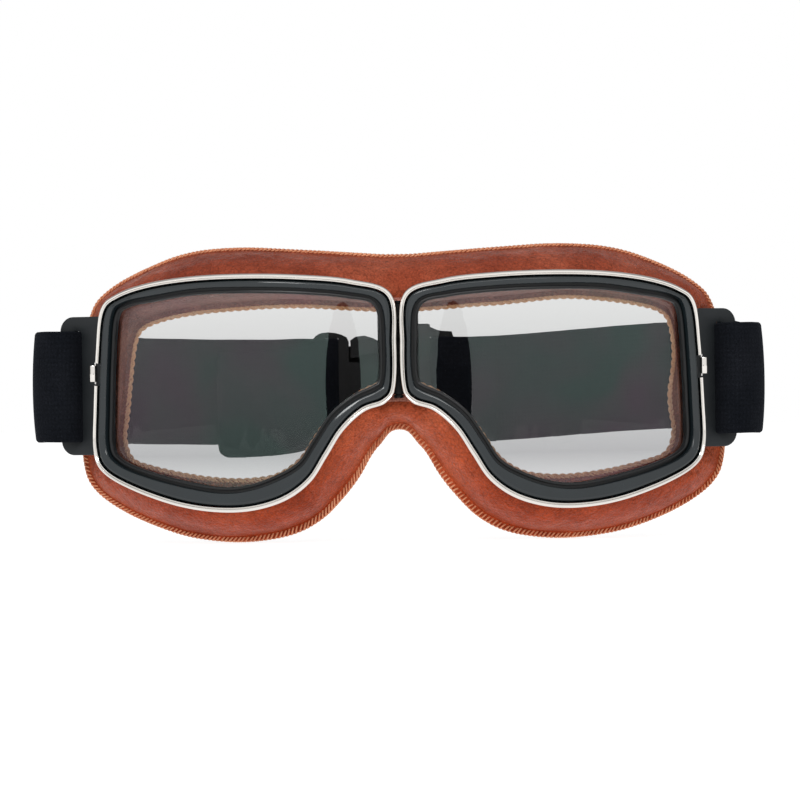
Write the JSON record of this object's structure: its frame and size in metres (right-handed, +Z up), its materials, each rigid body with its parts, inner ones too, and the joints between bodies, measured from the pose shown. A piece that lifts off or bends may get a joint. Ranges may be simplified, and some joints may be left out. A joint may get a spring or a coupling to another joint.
{
  "type": "motorcycle goggles",
  "caption": "Vintage style riding goggles with chrome rims, curved clear lenses hinged at the nose, a padded leather surround and an elastic strap with a side release buckle.",
  "frame": {"origin": "centre of the bounding box's base, under the goggles", "axes": "+X to the wearer's left (the viewer's right from the front), +Y back towards the wearer's head, +Z up; the lenses face -Y"},
  "size_m": [0.2014, 0.1228, 0.0812],
  "materials": {
    "eye_frame": "gloss black moulded frame",
    "chrome_rim": "polished chrome bead",
    "rim_barrel": "polished",
    "rim_screw": "turned steel",
    "lens_gasket": "matt black rubber",
    "lens": "clear with a faint coating tint",
    "strap_bracket": "matt black paint",
    "bracket_rivet": "dark steel",
    "hinge_leaf": "black paint",
    "hinge_pin": "bright steel",
    "cushion": "red-brown padded leather",
    "face_pad": "brushed brown leather lining",
    "strap": "black ribbed elastic webbing",
    "buckle": "black moulded plastic",
    "latch_arm": "black moulded plastic"
  },
  "bodies": {
    "left_half": {"eye_frame_left": "eye_frame", "chrome_rim_left": "chrome_rim", "rim_barrel_left": "rim_barrel", "rim_screw_left": "rim_screw", "lens_gasket_left": "lens_gasket", "lens_left": "lens", "strap_bracket_left": "strap_bracket", "bracket_rivet_upper_left": "bracket_rivet", "bracket_rivet_lower_left": "bracket_rivet", "hinge_leaf_left": "hinge_leaf", "cushion_left": "cushion", "face_pad_left": "face_pad", "strap_left": "strap", "hinge_pin": "hinge_pin", "cushion_brow": "cushion", "face_pad_brow": "face_pad", "cushion_nose": "cushion", "face_pad_nose": "face_pad", "buckle_male": "buckle"},
    "right_half": {"eye_frame_right": "eye_frame", "chrome_rim_right": "chrome_rim", "rim_barrel_right": "rim_barrel", "rim_screw_right": "rim_screw", "lens_gasket_right": "lens_gasket", "lens_right": "lens", "strap_bracket_right": "strap_bracket", "bracket_rivet_upper_right": "bracket_rivet", "bracket_rivet_lower_right": "bracket_rivet", "hinge_leaf_right": "hinge_leaf", "cushion_right": "cushion", "face_pad_right": "face_pad", "strap_right": "strap"},
    "buckle_socket": {"buckle_female": "buckle"},
    "latch_upper": {"latch_arm_upper": "latch_arm"},
    "latch_lower": {"latch_arm_lower": "latch_arm"}
  },
  "joints": [
    {"name": "bridge_fold", "type": "hinge", "parent": "left_half", "child": "right_half", "pos_m": [0, -0.05218, 0.05217], "axis": [0, 0, 1], "range_deg": [0, 40], "deforming": ["strap_right", "cushion_brow", "face_pad_brow", "cushion_nose", "face_pad_nose"]},
    {"name": "buckle_release", "type": "slide", "parent": "left_half", "child": "buckle_socket", "axis": [1, 0, 0], "range_m": [0, 0.02], "deforming": ["strap_right", "latch_arm_upper", "latch_arm_lower"]},
    {"name": "latch_upper_press", "type": "hinge", "parent": "left_half", "child": "latch_upper", "pos_m": [-0.0139, 0.05712, 0.05297], "axis": [0, 1, 0], "range_deg": [0, 8], "stiffness_Nm_per_rad": 0.05},
    {"name": "latch_lower_press", "type": "hinge", "parent": "left_half", "child": "latch_lower", "pos_m": [-0.0139, 0.05712, 0.03597], "axis": [0, -1, 0], "range_deg": [0, 8], "stiffness_Nm_per_rad": 0.05}
  ],
  "couplings": [
    {"joint": "latch_lower_press", "follows": "latch_upper_press", "ratio": 1}
  ]
}
